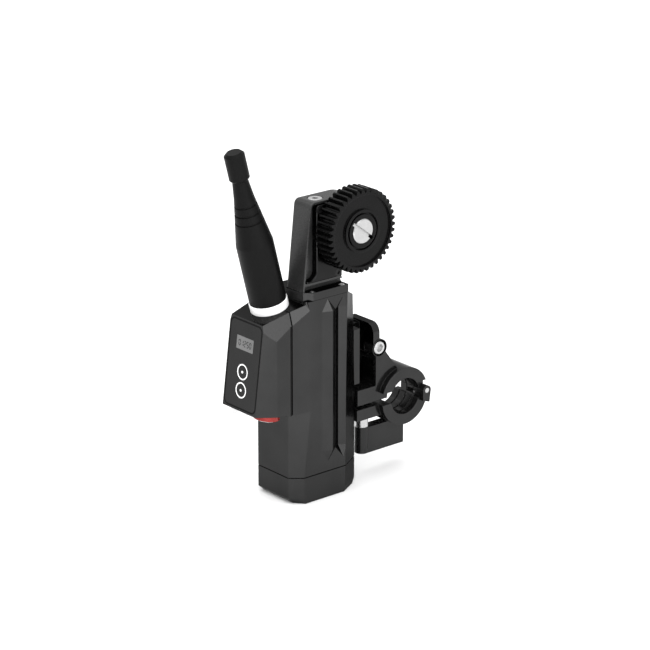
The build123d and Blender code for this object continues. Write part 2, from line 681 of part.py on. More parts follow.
with BuildPart() as drive_gear:
    with BuildSketch(facing(gear_back)):
        with Locations((gear_x, gear_z)):
            Polygon(*tooth_points(gear_teeth, gear_module, drive_play, 0), align=None)
            Circle(output_r + seat, mode=Mode.SUBTRACT)
    extrude(amount=gear_back - gear_front)
    # Bevels at both ends of the teeth
    for y, turn in ((gear_back, -1), (gear_front, 1)):
        with BuildSketch(Plane.XY.offset(gear_z)):
            Polygon((gear_x + drive_tip_r - tip_bevel, y), (gear_x + drive_tip_r + tip_bevel, y - turn * tip_bevel),
                    (gear_x + drive_tip_r + tip_bevel, y + 2 * turn * tip_bevel),
                    (gear_x + drive_tip_r, y + turn * tip_bevel), align=None)
        revolve(axis=Axis((gear_x, 0, gear_z), (0, 1, 0)), mode=Mode.SUBTRACT)
    with BuildSketch(facing(gear_front + web_depth)):
        with Locations((gear_x, gear_z)):
            Circle(web_outer_r)
            Circle(web_inner_r, mode=Mode.SUBTRACT)
    extrude(amount=web_depth, mode=Mode.SUBTRACT)
    with BuildSketch(facing(gear_front + hub_groove_depth)):
        with Locations((gear_x, gear_z)):
            Circle(hub_groove_outer_r)
            Circle(hub_groove_inner_r, mode=Mode.SUBTRACT)
    extrude(amount=hub_groove_depth, mode=Mode.SUBTRACT)
    with BuildSketch(facing(gear_front + screw_head_h)):
        with Locations((gear_x, gear_z)):
            Circle(screw_head_r + running)
            with PolarLocations(key_r - key_w, 2, start_angle=slot_turn):
                Rectangle(2 * key_w, key_w)
    extrude(amount=screw_head_h, mode=Mode.SUBTRACT)
    with BuildSketch(facing(gear_back)):
        with Locations((gear_x, gear_z)):
            Circle(web_outer_r)
            Circle(web_inner_r, mode=Mode.SUBTRACT)
    extrude(amount=web_depth, mode=Mode.SUBTRACT)
keep("drive_gear", drive_gear)

with BuildPart() as gear_screw:
    with BuildSketch(facing(gear_front + screw_head_h)):
        with Locations((gear_x, gear_z)):
            Circle(screw_head_r)
    extrude(amount=screw_head_h + screw_proud)
    chamfer(gear_screw.faces().sort_by(Axis.Y)[0].edges(), length=screw_proud)
    with BuildSketch(facing(gear_back)):
        with Locations((gear_x, gear_z)):
            Circle(gear_screw_r)
    extrude(amount=gear_back - gear_front - screw_head_h)
    with BuildSketch(facing(gear_front - screw_proud + slot_depth)):
        with Locations((gear_x, gear_z)):
            Rectangle(2 * screw_head_r + slot_w, slot_w, rotation=slot_turn)
    extrude(amount=slot_depth + overrun, mode=Mode.SUBTRACT)
keep("gear_screw", gear_screw)

# Radio module: a shell whose front slopes outwards going down
front_in = 3.15
front_half = body_half - front_in
front_x, front_z = -72.84, 42.75
front_slope = 0.125
facet_x = -67.84
module_back, module_contact = -60.54, -60.1
base_x, base_z = -60.09, 7.15
base_slope = 0.155
module_low, module_high = 4.0, 54.0
shell_wall = 1.6
room_depth = 9.5
module_bevel_low = {"x": module_back, "z": 43.85}
module_bevel_in = {"back": 1.6, "front": 2.9, "front_x": -72.2}
contact_half, contact_low, contact_high = 9.0, 12.0, 40.0


def front_at(z):
    return front_x + front_slope * (z - front_z)


def base(x):
    return base_z + base_slope * (base_x - x)


# The front face, seen from outside: x to the near side, y up the slope
panel_z = 27.9
panel_w, panel_h, panel_t, panel_r = 18.5, 34.0, 1.2, 2.0
front_plane = Plane(origin=(front_at(panel_z), 0, panel_z), x_dir=(0, -1, 0), z_dir=(-1, 0, front_slope))
panel_gap = 0.15
display_w, display_h, display_t = 10.1, 5.3, 2.4
display_up = 8.55
button_ups = (-2.65, -9.95)
button_r, ring_in_r, ring_out_r, ring_t = 2.55, 2.65, 3.15, 0.4
button_t, button_flange_r, button_flange_t, button_travel = 1.4, 3.0, 0.5, 0.4
dot_r, dot_t = 0.5, 0.1
ui_board_depth = 4.0


# The two connectors under the base
plug_spots = ((-66.94, -4.9), (-70.44, 6.1))
plug_r, plug_depth = 3.4, 2.2
plug_planes = [Plane(origin=(x, y, base(x)), x_dir=(1, 0, -base_slope), z_dir=(-base_slope, 0, -1))
               for x, y in plug_spots]


def module_outline(x):
    return [(x, -front_half), (facet_x, -module_half), (module_back, -module_half),
            (module_back, module_half), (facet_x, module_half), (x, front_half)]


with BuildPart() as module_shell:
    for z in (module_low, module_high):
        with BuildSketch(level(z)):
            Polygon(*module_outline(front_at(z)), align=None)
    loft(ruled=True)
    # Slanted base and roof
    with BuildSketch(facing(module_half + overrun)):
        left = front_at(module_low) - overrun
        Polygon((left, module_low - overrun), (left, base(left)), (base_x, base(base_x)),
                (base_x, module_low - overrun), align=None)
        Polygon((left, module_high + overrun), (left, roof(left)), (base_x, roof(base_x)),
                (base_x, module_high + overrun), align=None)
    extrude(amount=2 * (module_half + overrun), mode=Mode.SUBTRACT)
    # Long bevels, which widen towards the front
    for side in (-1, 1):
        bevel_low = Vector(module_back, side * module_half, module_bevel_low["z"])
        bevel_top = Vector(module_back, side * (module_half - module_bevel_in["back"]), roof(module_back))
        bevel_tip = Vector(module_bevel_in["front_x"], side * (module_half - module_bevel_in["front"]),
                           roof(module_bevel_in["front_x"]))
        outward = (bevel_top - bevel_low).cross(bevel_tip - bevel_low).normalized() * side
        outward = outward if outward.Z > 0 else outward * -1
        split(bisect_by=Plane(origin=bevel_low, z_dir=outward), keep=Keep.BOTTOM)
    # A plateau on the back meets the motor housing and leaves a dark joint around it
    with BuildSketch(across(module_back)):
        with Locations((0, (contact_low + contact_high) / 2)):
            Rectangle(2 * contact_half, contact_high - contact_low)
    extrude(amount=module_contact - module_back)
    # Recess of the front panel and the room behind it
    with BuildSketch(front_plane):
        RectangleRounded(panel_w + 2 * panel_gap, panel_h + 2 * panel_gap, panel_r + panel_gap)
    extrude(amount=-panel_t, mode=Mode.SUBTRACT)
    with BuildSketch(front_plane):
        RectangleRounded(panel_w - shell_wall, panel_h - shell_wall, panel_r)
    extrude(amount=-room_depth, mode=Mode.SUBTRACT)

    # Holes for the antenna socket and the connectors
    with BuildSketch(antenna_plane):
        Circle(socket_r + seat)
    extrude(amount=-socket_depth, mode=Mode.SUBTRACT)
    for plane in plug_planes:
        with BuildSketch(plane):
            Circle(plug_r + seat)
        extrude(amount=-plug_depth, mode=Mode.SUBTRACT)
keep("module_shell", module_shell)

with BuildPart() as front_panel:
    with BuildSketch(front_plane):
        RectangleRounded(panel_w, panel_h, panel_r)
        with Locations((0, display_up)):
            Rectangle(display_w + 2 * seat, display_h + 2 * seat, mode=Mode.SUBTRACT)
        with Locations(*[(0, up) for up in button_ups]):
            Circle(ring_in_r, mode=Mode.SUBTRACT)
    extrude(amount=-panel_t)
    with BuildSketch(front_plane):
        with Locations(*[(0, up) for up in button_ups]):
            Circle(ring_out_r + seat)
    extrude(amount=-ring_t, mode=Mode.SUBTRACT)
    with BuildSketch(front_plane.offset(-panel_t)):
        with Locations(*[(0, up) for up in button_ups]):
            Circle(button_flange_r + free_gap)
    extrude(amount=button_flange_t, mode=Mode.SUBTRACT)
keep("front_panel", front_panel)

with BuildPart() as display:
    with BuildSketch(front_plane):
        with Locations((0, display_up)):
            Rectangle(display_w, display_h)
    extrude(amount=-display_t)
keep("display", display)

with BuildPart() as button_rings:
    with BuildSketch(front_plane):
        with Locations(*[(0, up) for up in button_ups]):
            Circle(ring_out_r)
            Circle(ring_in_r, mode=Mode.SUBTRACT)
    extrude(amount=-ring_t)
keep("button_rings", button_rings)

for number, up in enumerate(button_ups, start=1):
    with BuildPart() as button:
        with BuildSketch(front_plane):
            with Locations((0, up)):
                Circle(button_r)
        extrude(amount=-button_t)
        with BuildSketch(front_plane.offset(button_flange_t - panel_t - running)):
            with Locations((0, up)):
                Circle(button_flange_r)
        extrude(amount=-button_flange_t)
    keep(f"button_{number}", button)
    with BuildPart() as button_dot:
        with BuildSketch(front_plane):
            with Locations((0, up)):
                Circle(dot_r)
        extrude(amount=dot_t)
    keep(f"button_dot_{number}", button_dot)

# Circuit board behind the panel, with a switch under each button and posts to the shell
switch_r = 1.4
board_w, board_h = panel_w - shell_wall - 2 * free_gap, panel_h - shell_wall - 2 * free_gap
switch_top = button_t + button_travel + running
with BuildPart() as panel_board:
    with BuildSketch(front_plane.offset(-ui_board_depth)):
        RectangleRounded(board_w, board_h, panel_r)
    extrude(amount=-board_t)
    with BuildSketch(front_plane.offset(-ui_board_depth)):
        with Locations(*[(0, up) for up in button_ups]):
            Circle(switch_r)
    extrude(amount=ui_board_depth - switch_top)
    with BuildSketch(front_plane.offset(-ui_board_depth)):
        with Locations((0, display_up)):
            Rectangle(display_w, display_h)
    extrude(amount=ui_board_depth - display_t)
    with BuildSketch(front_plane.offset(-ui_board_depth - board_t)):
        with GridLocations(board_w - chip_w, board_h - chip_w, 2, 2):
            Circle(switch_r)
    extrude(amount=ui_board_depth + board_t - room_depth)
keep("panel_board", panel_board)

# Connectors under the module: a socket shell, a ring at its neck, an insert and pins
plug_len, neck_gap, neck_len, neck_r = 2.9, 0.2, 2.4, 5.2
bore_r, insert_t, pin_r, pin_circle_r, pin_count, pin_proud = 2.7, 3.8, 0.3, 1.5, 4, 0.9
plug_outer_r = 4.2
with BuildPart() as connector_shells:
    for plane in plug_planes:
        with BuildSketch(plane):
            Circle(plug_outer_r)
        extrude(amount=plug_len)
        with BuildSketch(plane.offset(-plug_depth)):
            Circle(plug_r)
        extrude(amount=plug_depth)
        with BuildSketch(plane.offset(-plug_depth)):
            Circle(bore_r)
        extrude(amount=plug_depth + plug_len, mode=Mode.SUBTRACT)
keep("connector_shells", connector_shells)

with BuildPart() as connector_ring:
    with BuildSketch(plug_planes[0].offset(neck_gap)):
        Circle(neck_r)
        Circle(plug_outer_r + seat, mode=Mode.SUBTRACT)
    extrude(amount=neck_len)
    fillet(connector_ring.edges().filter_by(GeomType.CIRCLE).sort_by(SortBy.RADIUS)[-2:], radius=free_gap)
keep("connector_ring", connector_ring)

with BuildPart() as connector_inserts:
    for plane in plug_planes:
        with BuildSketch(plane.offset(-plug_depth)):
            Circle(bore_r - seat)
            with PolarLocations(pin_circle_r, pin_count):
                Circle(pin_r + seat, mode=Mode.SUBTRACT)
        extrude(amount=insert_t)
keep("connector_inserts", connector_inserts)

with BuildPart() as connector_pins:
    for plane in plug_planes:
        with BuildSketch(plane.offset(-plug_depth)):
            with PolarLocations(pin_circle_r, pin_count):
                Circle(pin_r)
        extrude(amount=insert_t + pin_proud)
keep("connector_pins", connector_pins)

# Antenna: socket, white ring, tapered rod with three grooves, and its end cap
ring_r, ring_h = 7.6, 3.4
antenna_r, cone_low, cone_high, cone_r = 7.3, 28.4, 47.6, 3.975
neck_high, neck_top_r = 55.5, 3.05
tip_r, tip_high, tip_round = 4.025, 66.9, 1.1
groove_w, groove_depth, groove_heights = 0.8, 0.45, (9.4, 12.8, 16.2)
edge_round = 0.5


def cone_r_at(height):
    return antenna_r + (cone_r - antenna_r) * (height - cone_low) / (cone_high - cone_low)


side_plane = Plane(origin=antenna_plane.origin, x_dir=antenna_plane.x_dir, z_dir=(0, -1, 0))
antenna_axis = Axis(antenna_plane.origin, antenna_plane.z_dir)

with BuildPart() as antenna_socket:
    with BuildSketch(antenna_plane.offset(-socket_depth)):
        Circle(socket_r)
    extrude(amount=socket_depth + ring_h - running)
keep("antenna_socket", antenna_socket)

with BuildPart() as antenna_ring:
    with BuildSketch(antenna_plane):
        Circle(ring_r)
        Circle(socket_r + seat, mode=Mode.SUBTRACT)
    extrude(amount=ring_h)
    fillet(antenna_ring.edges().filter_by(GeomType.CIRCLE).sort_by(SortBy.RADIUS)[-1:], radius=edge_round)
keep("antenna_ring", antenna_ring)

with BuildPart() as antenna:
    with BuildSketch(side_plane):
        with BuildLine():
            profile = [(0, ring_h), (antenna_r, ring_h), (antenna_r, cone_low)]
            for rise in groove_heights:
                low, high = cone_low + rise, cone_low + rise + groove_w
                profile += [(cone_r_at(low), low), (cone_r_at(low) - groove_depth, low),
                            (cone_r_at(high) - groove_depth, high), (cone_r_at(high), high)]
            profile += [(cone_r, cone_high), (neck_top_r, neck_high), (0, neck_high)]
            Polyline(*profile, close=True)
        make_face()
    revolve(axis=antenna_axis)
keep("antenna", antenna)

with BuildPart() as antenna_cap:
    with BuildSketch(antenna_plane.offset(neck_high)):
        Circle(tip_r)
    extrude(amount=tip_high - neck_high)
    chamfer(antenna_cap.edges().sort_by(Axis.Z)[-1:], length=tip_round)
    chamfer(antenna_cap.edges().sort_by(Axis.Z)[:1], length=edge_round)
keep("antenna_cap", antenna_cap)

# Rod clamp, upper jaw: half a ring, a lip on the motor side and an arm up to the pivot
bore_radius, ring_radius = rod_dia / 2, 12.0
ring_near, ring_far, collar_far = -10.0, 5.0, 10.0
jaw_near, jaw_far = -7.5, 7.5
upper_face, lower_face = 0.4, -1.45
lip_left, lip_top = -22.9, 6.9
jaw_arm_left, arm_neck_x, arm_foot_x = -13.4, -8.4, -2.0
boss_radius = 3.7
lip_corner_r = 2.0
stub_low, hinge_gap_high = 3.5, 1.6
ring_end_high, ring_end_low, hinge_gap_low = 4.4, -4.4, -2.3
pocket_low, pocket_high, pocket_near, pocket_far, pocket_depth = 8.5, 17.5, -6.2, 6.5, 4.2
barrel_near, barrel_far = -2.3, 2.8
bolt_r, bolt_head_r, bolt_head_h, bolt_back, bolt_room_r = 1.75, 2.7, 2.4, 6.8, 3.35
hinge_x, hinge_z = 9.6, 0.8
hinge_r, hinge_pin_r = 2.05, 1.0
knuckle_near, knuckle_mid_near, knuckle_mid_far, knuckle_far = -12.5, -7.4, -2.4, 1.3
liner_groove_ys, liner_groove_w, liner_groove_depth = (-6.5, -2.5, 1.5), 0.7, 0.5
screw_x = -14.5
clamp_screw_r, collar_r = 2.0, 2.75
screw_slot_left, screw_slot_right, screw_slot_top = 1.4, 0.4, 5.6

arm_neck = (arm_neck_x, pivot_z - sqrt(boss_radius ** 2 - (arm_neck_x - pivot_x) ** 2))
arm_foot = (arm_foot_x, sqrt(ring_radius ** 2 - arm_foot_x ** 2))


with BuildPart() as upper_jaw:
    with BuildSketch(facing(ring_far)):
        Circle(ring_radius)
        with Locations((0, upper_face)):
            Rectangle(2 * ring_radius, 2 * ring_radius, align=(Align.CENTER, Align.MAX), mode=Mode.SUBTRACT)
    extrude(amount=ring_far - ring_near)
    # The stub that stands nearer than the lip ends higher up
    with BuildSketch(facing(jaw_near)):
        Rectangle(ring_radius, stub_low, align=(Align.MAX, Align.MIN))
    extrude(amount=jaw_near - ring_near, mode=Mode.SUBTRACT)
    with BuildSketch(facing(jaw_far)) as jaw_side:
        Polygon((lip_left, upper_face), (-bore_radius, upper_face), (0, bore_radius), arm_foot, arm_neck,
                (pivot_x, pivot_z), (jaw_arm_left, pivot_z), (jaw_arm_left, lip_top), (lip_left, lip_top),
                align=None)
        fillet(jaw_side.vertices().sort_by_distance((-bore_radius, upper_face))[0], radius=lip_corner_r)
        with Locations((pivot_x, pivot_z)):
            Circle(boss_radius)
    extrude(amount=jaw_far - jaw_near)
    # The quarter of the ring beside the arm runs on at the far end
    with BuildSketch(facing(collar_far)):
        Circle(ring_radius)
        with Locations((-ring_radius, upper_face)):
            Rectangle(ring_radius, ring_radius, align=(Align.MIN, Align.MIN), mode=Mode.INTERSECT)
    extrude(amount=collar_far - jaw_far)
    # Open the ring at the hinge
    with BuildSketch(facing(ring_far)):
        Rectangle(2 * ring_radius, hinge_gap_high, align=(Align.MIN, Align.MIN))
        with Locations((hinge_x, 0)):
            Rectangle(ring_radius, ring_end_high, align=(Align.MIN, Align.MIN))
    extrude(amount=ring_far - ring_near, mode=Mode.SUBTRACT)
    for far, near in ((ring_far, knuckle_mid_far), (knuckle_mid_near, ring_near)):
        with BuildSketch(facing(far)):
            with Locations((hinge_x, hinge_z)):
                Circle(hinge_r + free_gap)
        extrude(amount=far - near, mode=Mode.SUBTRACT)
    with BuildSketch(facing(knuckle_mid_far - running)):
        with Locations((hinge_x, hinge_z)):
            Circle(hinge_r)
    extrude(amount=knuckle_mid_far - knuckle_mid_near - 2 * running)
    with BuildSketch(facing(collar_far)):
        Circle(bore_radius)
        with Locations((hinge_x, hinge_z)):
            Circle(hinge_pin_r + running)
    extrude(amount=collar_far - ring_near, mode=Mode.SUBTRACT)
    for y in liner_groove_ys:
        with BuildSketch(facing(y + liner_groove_w / 2)):
            Circle(bore_radius + liner_groove_depth)
        extrude(amount=liner_groove_w, mode=Mode.SUBTRACT)
    # Slot for the clamp screw, a little long so that the lower jaw can swing down
    with BuildSketch(level(upper_face)):
        with Locations((screw_x - clamp_screw_r - screw_slot_left, 0)):
            Rectangle(2 * clamp_screw_r + screw_slot_left + screw_slot_right, 2 * (clamp_screw_r + free_gap),
                      align=(Align.MIN, Align.CENTER))
    extrude(amount=screw_slot_top - upper_face, mode=Mode.SUBTRACT)
    # Hollow in the arm's face towards the motor
    with BuildSketch(across(jaw_arm_left + pocket_depth)):
        with Locations(((pocket_near + pocket_far) / 2, (pocket_low + pocket_high) / 2)):
            Rectangle(pocket_far - pocket_near, pocket_high - pocket_low)
    extrude(amount=-pocket_depth, mode=Mode.SUBTRACT)
    # Room for the console's barrel between the two bosses, and the bolt's bore
    with BuildSketch(facing(barrel_far + running)):
        with Locations((pivot_x, pivot_z)):
            Circle(boss_radius + free_gap)
    extrude(amount=barrel_far - barrel_near + 2 * running, mode=Mode.SUBTRACT)
    with BuildSketch(facing(bolt_back + free_gap)):
        with Locations((pivot_x, pivot_z)):
            Circle(bolt_r + seat)
    extrude(amount=bolt_back + free_gap - jaw_near, mode=Mode.SUBTRACT)
    with BuildSketch(facing(jaw_near + bolt_head_h)):
        with Locations((pivot_x, pivot_z)):
            Circle(bolt_room_r)
    extrude(amount=bolt_head_h, mode=Mode.SUBTRACT)
keep("upper_jaw", upper_jaw)

with BuildPart() as pivot_bolt:
    with BuildSketch(facing(jaw_near + bolt_head_h)):
        with Locations((pivot_x, pivot_z)):
            Circle(bolt_head_r)
    extrude(amount=bolt_head_h)
    chamfer(pivot_bolt.faces().sort_by(Axis.Y)[0].edges(), length=free_gap)
    with BuildSketch(facing(bolt_back)):
        with Locations((pivot_x, pivot_z)):
            Circle(bolt_r)
    extrude(amount=bolt_back - jaw_near - bolt_head_h)
    with BuildSketch(facing(jaw_near + bolt_head_h / 2)):
        with Locations((pivot_x, pivot_z)):
            RegularPolygon(bolt_r, 6)
    extrude(amount=bolt_head_h, mode=Mode.SUBTRACT)
keep("pivot_bolt", pivot_bolt)

# Lower jaw: the other half of the ring, with a bar to the clamp screw
bar_left, bar_low = -23.2, -6.2
web_left, web_right = (bore_radius + running, hinge_gap_low - overrun), (11.0, ring_end_low)
with BuildPart() as lower_jaw:
    with BuildSketch(facing(ring_far)):
        Circle(ring_radius)
        with Locations((0, lower_face)):
            Rectangle(2 * ring_radius, 2 * ring_radius, align=(Align.MAX, Align.MIN), mode=Mode.SUBTRACT)
        with Locations((0, hinge_gap_low)):
            Rectangle(2 * ring_radius, 2 * ring_radius, align=(Align.MIN, Align.MIN), mode=Mode.SUBTRACT)
        with Locations((hinge_x, ring_end_low)):
            Rectangle(ring_radius, ring_radius, align=(Align.MIN, Align.MIN), mode=Mode.SUBTRACT)
    extrude(amount=ring_far - ring_near)
    with BuildSketch(facing(jaw_far)):
        with Locations((bar_left, bar_low)):
            Rectangle(-bar_left, lower_face - bar_low, align=(Align.MIN, Align.MIN))
    extrude(amount=jaw_far - jaw_near)
    # Two knuckles, with webs down to the ring
    for far, near in ((knuckle_far, knuckle_mid_far + running), (knuckle_mid_near - running, knuckle_near)):
        with BuildSketch(facing(far)):
            with Locations((hinge_x, hinge_z)):
                Circle(hinge_r)
            Polygon((hinge_x - hinge_r, hinge_z), (hinge_x + hinge_r, hinge_z), web_right, web_left, align=None)
        extrude(amount=far - near)
    with BuildSketch(facing(knuckle_mid_far + running)):
        with Locations((hinge_x, hinge_z)):
            Circle(hinge_r + free_gap)
    extrude(amount=knuckle_mid_far - knuckle_mid_near + 2 * running, mode=Mode.SUBTRACT)
    with BuildSketch(facing(jaw_far)):
        Circle(bore_radius)
        with Locations((hinge_x, hinge_z)):
            Circle(hinge_pin_r + seat)
    extrude(amount=jaw_far - knuckle_near, mode=Mode.SUBTRACT)
    for y in liner_groove_ys:
        with BuildSketch(facing(y + liner_groove_w / 2)):
            Circle(bore_radius + liner_groove_depth)
        extrude(amount=liner_groove_w, mode=Mode.SUBTRACT)
    with BuildSketch(level(bar_low)):
        with Locations((screw_x, 0)):
            Circle(clamp_screw_r + running)
    extrude(amount=lower_face - bar_low, mode=Mode.SUBTRACT)
keep("lower_jaw", lower_jaw)

with BuildPart() as hinge_pin:
    with BuildSketch(facing(knuckle_far)):
        with Locations((hinge_x, hinge_z)):
            Circle(hinge_pin_r)
    extrude(amount=knuckle_far - knuckle_near)
keep("hinge_pin", hinge_pin)

# Clamp screw with its bright collar, and the thumb lever on it
collar_low, screw_top = -12.0, 5.0
hub_low = -23.3
stem_low = -18.0
wing_right, wing_top, wing_low, wing_half = 6.7, -12.5, -23.6, 2.2
with BuildPart() as clamp_screw:
    with BuildSketch(level(stem_low)):
        with Locations((screw_x, 0)):
            Circle(clamp_screw_r)
    extrude(amount=screw_top - stem_low)
    with BuildSketch(level(collar_low)):
        with Locations((screw_x, 0)):
            Circle(collar_r)
    extrude(amount=bar_low - collar_low)
keep("clamp_screw", clamp_screw)

with BuildPart() as thumb_lever:
    with BuildSketch(level(hub_low)):
        with Locations((screw_x, 0)):
            Circle(collar_r)
    extrude(amount=collar_low - hub_low)
    with BuildSketch(facing(wing_half)):
        Polygon((screw_x, wing_low), (wing_right, wing_low), (wing_right, wing_top), (screw_x, wing_top),
                align=None)
    extrude(amount=2 * wing_half)
    fillet(thumb_lever.edges().filter_by(Axis.Z).sort_by(Axis.X)[-2:], radius=overrun)
    with BuildSketch(level(stem_low - free_gap)):
        with Locations((screw_x, 0)):
            Circle(clamp_screw_r + seat)
    extrude(amount=collar_low - stem_low + 2 * free_gap, mode=Mode.SUBTRACT)
keep("thumb_lever", thumb_lever)

# Console: the bracket on the motor that turns about the pivot
console_left, console_plate = body_right, -22.0
console_low, console_high = 10.0, 33.0
bridge_near, bridge_low, bridge_high = 1.0, 22.0, 32.0
leaf_left, leaf_right, leaf_low = -14.8, -11.6, 22.4
leaf_corner_r = 4.0
leg_near, leg_right, leg_low, leg_high = 0.5, -13.9, 7.2, 21.7
leg_cut_x, leg_cut_z = -16.4, 18.0

with BuildPart() as console:
    with BuildSketch(across(console_left)):
        with Locations((0, console_low)):
            Rectangle(jaw_far - jaw_near, console_high - console_low, align=(Align.CENTER, Align.MIN))
    extrude(amount=console_plate - console_left)
    with BuildSketch(across(leaf_left)) as leaf_side:
        with Locations((0, leaf_low)):
            Rectangle(jaw_far - jaw_near, console_high - leaf_low, align=(Align.CENTER, Align.MIN))
        fillet(leaf_side.vertices().group_by(Axis.Y)[-1].sort_by(Axis.X)[0], radius=leaf_corner_r)
    extrude(amount=leaf_right - leaf_left)
    with BuildSketch(facing(jaw_far)):
        Polygon((console_left, bridge_low), (leaf_left, bridge_low), (leaf_left, bridge_high),
                (console_left, bridge_high), align=None)
    extrude(amount=jaw_far - bridge_near)
    with BuildSketch(facing(jaw_far)):
        Polygon((console_left, leg_low), (leg_right, leg_low), (leg_right, (leg_low + leg_high) / 2),
                (leg_cut_x, leg_cut_z), (leg_cut_x, bridge_low), (console_left, bridge_low), align=None)
    extrude(amount=jaw_far - leg_near)
    for y, length in ((jaw_far, jaw_far - barrel_far), (barrel_near, barrel_near - jaw_near)):
        with BuildSketch(facing(y)):
            with Locations((pivot_x, pivot_z)):
                Circle(boss_radius + free_gap)
        extrude(amount=length, mode=Mode.SUBTRACT)
    with BuildSketch(facing(barrel_far)):
        with Locations((pivot_x, pivot_z)):
            Circle(boss_radius)
    extrude(amount=barrel_far - barrel_near)
    with BuildSketch(facing(jaw_far)):
        with Locations((pivot_x, pivot_z)):
            Circle(bolt_r + running)
    extrude(amount=jaw_far - jaw_near, mode=Mode.SUBTRACT)
    with BuildSketch(across(console_left)):
        with Locations(*console_screw_spots):
            Circle(console_screw_r + seat)
    extrude(amount=console_plate - console_left, mode=Mode.SUBTRACT)
    with BuildSketch(across(console_plate - console_head_h)):
        with Locations(*console_screw_spots):
            Circle(console_head_r + seat)
    extrude(amount=console_head_h, mode=Mode.SUBTRACT)
keep("console", console)

with BuildPart() as console_screws:
    with BuildSketch(across(console_plate - console_head_h)):
        with Locations(*console_screw_spots):
            Circle(console_head_r)
    extrude(amount=console_head_h - seat)
    with BuildSketch(across(console_left - console_screw_reach + seat)):
        with Locations(*console_screw_spots):
            Circle(console_screw_r)
    extrude(amount=console_plate - console_head_h - console_left + console_screw_reach - seat)
    with BuildSketch(across(console_plate - console_head_h / 2)):
        with Locations(*console_screw_spots):
            RegularPolygon(console_screw_r, 6)
    extrude(amount=console_head_h, mode=Mode.SUBTRACT)
keep("console_screws", console_screws)
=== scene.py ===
"""Looks of the lens motor: procedural finishes, studio light and the camera."""

import json
import math

import bpy
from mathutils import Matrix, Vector


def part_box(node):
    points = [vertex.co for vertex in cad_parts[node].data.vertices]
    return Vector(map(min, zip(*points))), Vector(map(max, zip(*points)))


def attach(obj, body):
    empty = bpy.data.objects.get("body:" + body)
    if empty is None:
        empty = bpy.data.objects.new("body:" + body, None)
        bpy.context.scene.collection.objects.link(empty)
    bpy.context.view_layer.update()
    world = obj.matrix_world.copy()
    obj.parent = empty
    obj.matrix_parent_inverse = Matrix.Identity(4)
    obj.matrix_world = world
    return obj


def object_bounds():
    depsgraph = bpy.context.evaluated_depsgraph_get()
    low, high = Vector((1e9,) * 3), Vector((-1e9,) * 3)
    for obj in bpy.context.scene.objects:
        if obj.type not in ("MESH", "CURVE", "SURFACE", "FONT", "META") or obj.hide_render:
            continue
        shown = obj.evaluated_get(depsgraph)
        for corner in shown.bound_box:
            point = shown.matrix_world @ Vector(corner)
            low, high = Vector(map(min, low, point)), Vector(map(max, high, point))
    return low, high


MM = 0.001
EVEN = (1, 1, 1)
TURNED = (1, 1, 6)

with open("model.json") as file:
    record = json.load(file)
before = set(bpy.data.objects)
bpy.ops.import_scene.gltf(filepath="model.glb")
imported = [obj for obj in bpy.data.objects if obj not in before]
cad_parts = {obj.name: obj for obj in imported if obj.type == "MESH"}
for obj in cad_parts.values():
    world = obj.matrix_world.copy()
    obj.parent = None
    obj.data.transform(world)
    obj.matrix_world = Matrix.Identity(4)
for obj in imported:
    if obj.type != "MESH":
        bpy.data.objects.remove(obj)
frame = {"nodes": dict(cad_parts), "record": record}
nodes = frame["nodes"]
bounds_at_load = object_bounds()


# Node helpers
def add_node(tree, kind, inputs=None, **settings):
    """A shader node with its settings and the constants of its input sockets."""
    node = tree.nodes.new(kind)
    for name, value in settings.items():
        setattr(node, name, value)
    for name, value in (inputs or {}).items():
        node.inputs[name].default_value = value
    return node


def grey(level):
    """One level in all three colours."""
    return (level, level, level, 1)


def new_material(name):
    """An empty node material with its principled shader wired to the output."""
    material = bpy.data.materials.new(name)
    material.use_nodes = True
    tree = material.node_tree
    tree.nodes.clear()
    output = add_node(tree, "ShaderNodeOutputMaterial")
    shader = add_node(tree, "ShaderNodeBsdfPrincipled")
    tree.links.new(shader.outputs["BSDF"], output.inputs["Surface"])
    return material, tree, shader


PATCH_DETAIL, GRAIN_DETAIL = 4.0, 2.0
NOISE_LOW, NOISE_HIGH = 0.35, 0.65
GRAIN_GLOSS = 0.05
BEVEL_SAMPLES = 6


def object_noise(tree, size, detail=PATCH_DETAIL, stretch=EVEN):
    """Noise of one feature size in metres, fixed to the piece."""
    place = add_node(tree, "ShaderNodeTexCoord")
    mapping = add_node(tree, "ShaderNodeMapping", {"Scale": stretch})
    noise = add_node(tree, "ShaderNodeTexNoise", {"Scale": 1 / size, "Detail": detail})
    tree.links.new(place.outputs["Object"], mapping.inputs["Vector"])
    tree.links.new(mapping.outputs["Vector"], noise.inputs["Vector"])
    return noise.outputs["Fac"]


def spread(tree, source, low, high):
    """Carry a noise over to a range of values."""
    node = add_node(tree, "ShaderNodeMapRange", {"From Min": NOISE_LOW, "From Max": NOISE_HIGH,
                                                 "To Min": low, "To Max": high})
    tree.links.new(source, node.inputs["Value"])
    return node.outputs["Result"]


def mix_colour(tree, amount, first, second):
    """A colour between two, by a value from 0 to 1."""
    node = add_node(tree, "ShaderNodeMix", data_type="RGBA")
    node.inputs["A"].default_value = first
    node.inputs["B"].default_value = second
    tree.links.new(amount, node.inputs["Factor"])
    return node.outputs["Result"]


def soft_edges(tree, shader, grain, height, edge):
    """Grain as a bump, over edges that the light sees as slightly rounded."""
    bevel = add_node(tree, "ShaderNodeBevel", {"Radius": edge}, samples=BEVEL_SAMPLES)
    bump = add_node(tree, "ShaderNodeBump", {"Strength": 1.0, "Distance": height})
    tree.links.new(grain, bump.inputs["Height"])
    tree.links.new(bevel.outputs["Normal"], bump.inputs["Normal"])
    tree.links.new(bump.outputs["Normal"], shader.inputs["Normal"])


